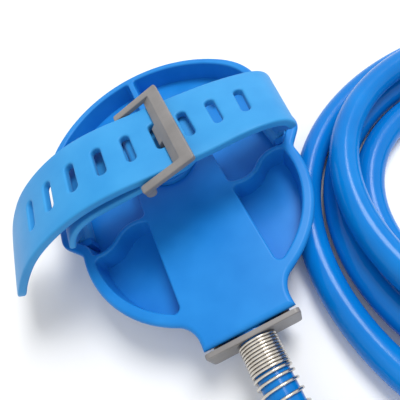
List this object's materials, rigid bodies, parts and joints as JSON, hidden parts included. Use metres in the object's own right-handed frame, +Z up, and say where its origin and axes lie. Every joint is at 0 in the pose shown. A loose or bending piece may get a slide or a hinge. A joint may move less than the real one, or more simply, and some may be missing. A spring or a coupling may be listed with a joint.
{
  "type": "hand-worn pet bathing sprayer",
  "caption": "Palm-worn bathing sprayer with a dished grip, press valve, scrub pad, buckled hand strap, spring strain relief and a coiled hose with a tap nut.",
  "frame": {"origin": "tip of the middle scrub nub, on the table that the tool lies on", "axes": "+Z up from the scrub face to the hand strap, +Y towards the fingers' end, +X to the side that the hose coil lies on"},
  "size_m": [0.2829, 0.2529, 0.0559],
  "materials": {
    "body_plastic": "satin",
    "button_plastic": "satin",
    "strap_silicone": "matte",
    "pad_silicone": "matte",
    "seal_rubber": "matte",
    "hose_pvc": "gloss",
    "grey_plastic": "satin",
    "steel": "polished",
    "brass": "satin",
    "ferrule_aluminium": "satin",
    "nut_chrome": "polished"
  },
  "bodies": {
    "sprayer": {"back_shell": "body_plastic", "spray_plate": "body_plastic", "scrub_pad": "pad_silicone", "chamber_gasket": "seal_rubber", "plate_screws": "steel", "valve_body": "grey_plastic", "return_spring": "steel", "inlet_cap": "grey_plastic", "hose_barb": "brass", "hose_coil": "hose_pvc", "hose_lead": "hose_pvc", "hose_tail": "hose_pvc", "strain_relief_spring": "steel", "end_ferrule": "ferrule_aluminium", "connector_tail": "brass", "sealing_washer": "seal_rubber", "strap_pins": "steel", "hand_strap": "strap_silicone", "buckle_strap": "strap_silicone"},
    "button": {"press_button": "button_plastic", "valve_plunger": "grey_plastic", "plunger_o_ring": "seal_rubber"},
    "buckle": {"buckle_frame": "grey_plastic"},
    "nut": {"swivel_nut": "nut_chrome"}
  },
  "joints": [
    {"name": "button_press", "type": "slide", "parent": "sprayer", "child": "button", "axis": [0, 0, -1], "range_m": [0, 0.0025], "stiffness_N_per_m": 800, "deforming": ["return_spring"]},
    {"name": "buckle_tilt", "type": "hinge", "parent": "sprayer", "child": "buckle", "pos_m": [-0.00808, -0.0068, 0.04684], "axis": [0, -1, 0], "range_deg": [0, 35]},
    {"name": "nut_swivel", "type": "hinge", "parent": "sprayer", "child": "nut", "pos_m": [0.1772, 0.0584, 0.0132], "axis": [0, 1, 0], "continuous": true}
  ]
}
